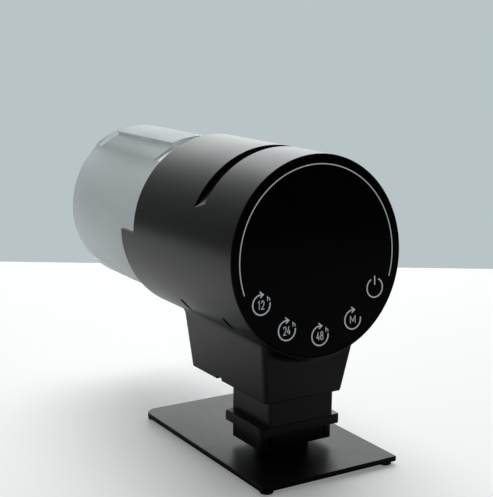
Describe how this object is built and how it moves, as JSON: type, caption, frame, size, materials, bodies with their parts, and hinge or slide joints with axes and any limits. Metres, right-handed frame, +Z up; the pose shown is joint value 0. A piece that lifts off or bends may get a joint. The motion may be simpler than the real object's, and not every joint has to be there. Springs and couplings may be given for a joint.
{
  "type": "automatic pet feeder",
  "caption": "Cylindrical automatic feeder: touch panel at the front of a black head, frosted rotating food barrel with a sliding door behind, tapered neck plugged into a flat swivel stand.",
  "frame": {"origin": "on the floor, under the centre of the base plate's footprint", "axes": "+Z up, -Y to the front where the touch panel faces, +Y to the rear where the food barrel is, +X to the feeder's left-hand side as seen from behind, that is to the right when looking at the panel"},
  "size_m": [0.0608, 0.1268, 0.0966],
  "materials": {
    "satin_black": "satin moulded",
    "stand_black": "fine satin moulded",
    "plate_black": "satin powder coat",
    "panel_black": "high gloss",
    "frosted": "frosted translucent",
    "foot_rubber": "matte",
    "seal_rubber": "matte",
    "steel": "bright zinc",
    "black_screw": "blackened",
    "gear_plastic": "moulded acetal",
    "inner_black": "matte moulded",
    "board_green": "solder mask",
    "chip_black": "moulded",
    "brass": "turned",
    "spring_steel": "plated",
    "led_white": "clear cap",
    "cell_wrap": "foil wrap",
    "felt": "felt",
    "lead_red": "insulated wire"
  },
  "bodies": {
    "base": {"base_plate": "plate_black", "rubber_feet": "foot_rubber", "swivel_boss": "stand_black", "swivel_washer": "steel", "swivel_nut": "steel", "swivel_screw": "black_screw"},
    "socket": {"base_socket": "stand_black"},
    "drive": {"output_shaft": "steel", "output_gear": "gear_plastic", "drive_disc": "inner_black", "grip_oring": "seal_rubber"},
    "idler": {"idler_gear": "gear_plastic"},
    "pinion": {"motor_pinion": "brass"},
    "barrel": {"food_barrel": "frosted"},
    "door": {"slide_door": "frosted"},
    "head": {"housing_shell": "satin_black", "neck_insert": "satin_black", "neck_screws": "black_screw", "touch_panel": "panel_black", "panel_frame": "inner_black", "control_board": "board_green", "touch_springs": "spring_steel", "indicator_leds": "led_white", "control_chips": "chip_black", "board_screws": "steel", "gearbox_plate": "inner_black", "bulkhead": "inner_black", "gearbox_screws": "steel", "idler_pin": "steel", "shaft_bush": "brass", "motor": "steel", "felt_seal": "felt", "battery_tray": "inner_black", "battery_cell": "cell_wrap", "usb_socket": "steel", "charge_board": "board_green", "motor_leads": "lead_red", "battery_leads": "lead_red", "charge_leads": "lead_red"}
  },
  "joints": [
    {"name": "stand_swivel", "type": "hinge", "parent": "base", "child": "socket", "pos_m": [0, -0.0102, 0.005], "axis": [0, 0, 1], "range_deg": [-90, 90]},
    {"name": "head_lift", "type": "slide", "parent": "socket", "child": "head", "axis": [0, 0, 1], "range_m": [0, 0.012]},
    {"name": "barrel_spin", "type": "hinge", "parent": "head", "child": "drive", "pos_m": [0, 0.02, 0.0662], "axis": [0, 1, 0], "continuous": true},
    {"name": "idler_spin", "type": "hinge", "parent": "head", "child": "idler", "pos_m": [0, 0.0115, 0.083], "axis": [0, 1, 0], "continuous": true},
    {"name": "pinion_spin", "type": "hinge", "parent": "head", "child": "pinion", "pos_m": [-0.00945, 0.0115, 0.08133], "axis": [0, 1, 0], "continuous": true},
    {"name": "barrel_pull", "type": "slide", "parent": "drive", "child": "barrel", "axis": [0, 1, 0], "range_m": [0, 0.02]},
    {"name": "door_slide", "type": "slide", "parent": "barrel", "child": "door", "axis": [0, 1, 0], "range_m": [-0.01, 0.0165]}
  ],
  "couplings": [
    {"joint": "idler_spin", "follows": "barrel_spin", "ratio": -1.8},
    {"joint": "pinion_spin", "follows": "barrel_spin", "ratio": 3}
  ]
}
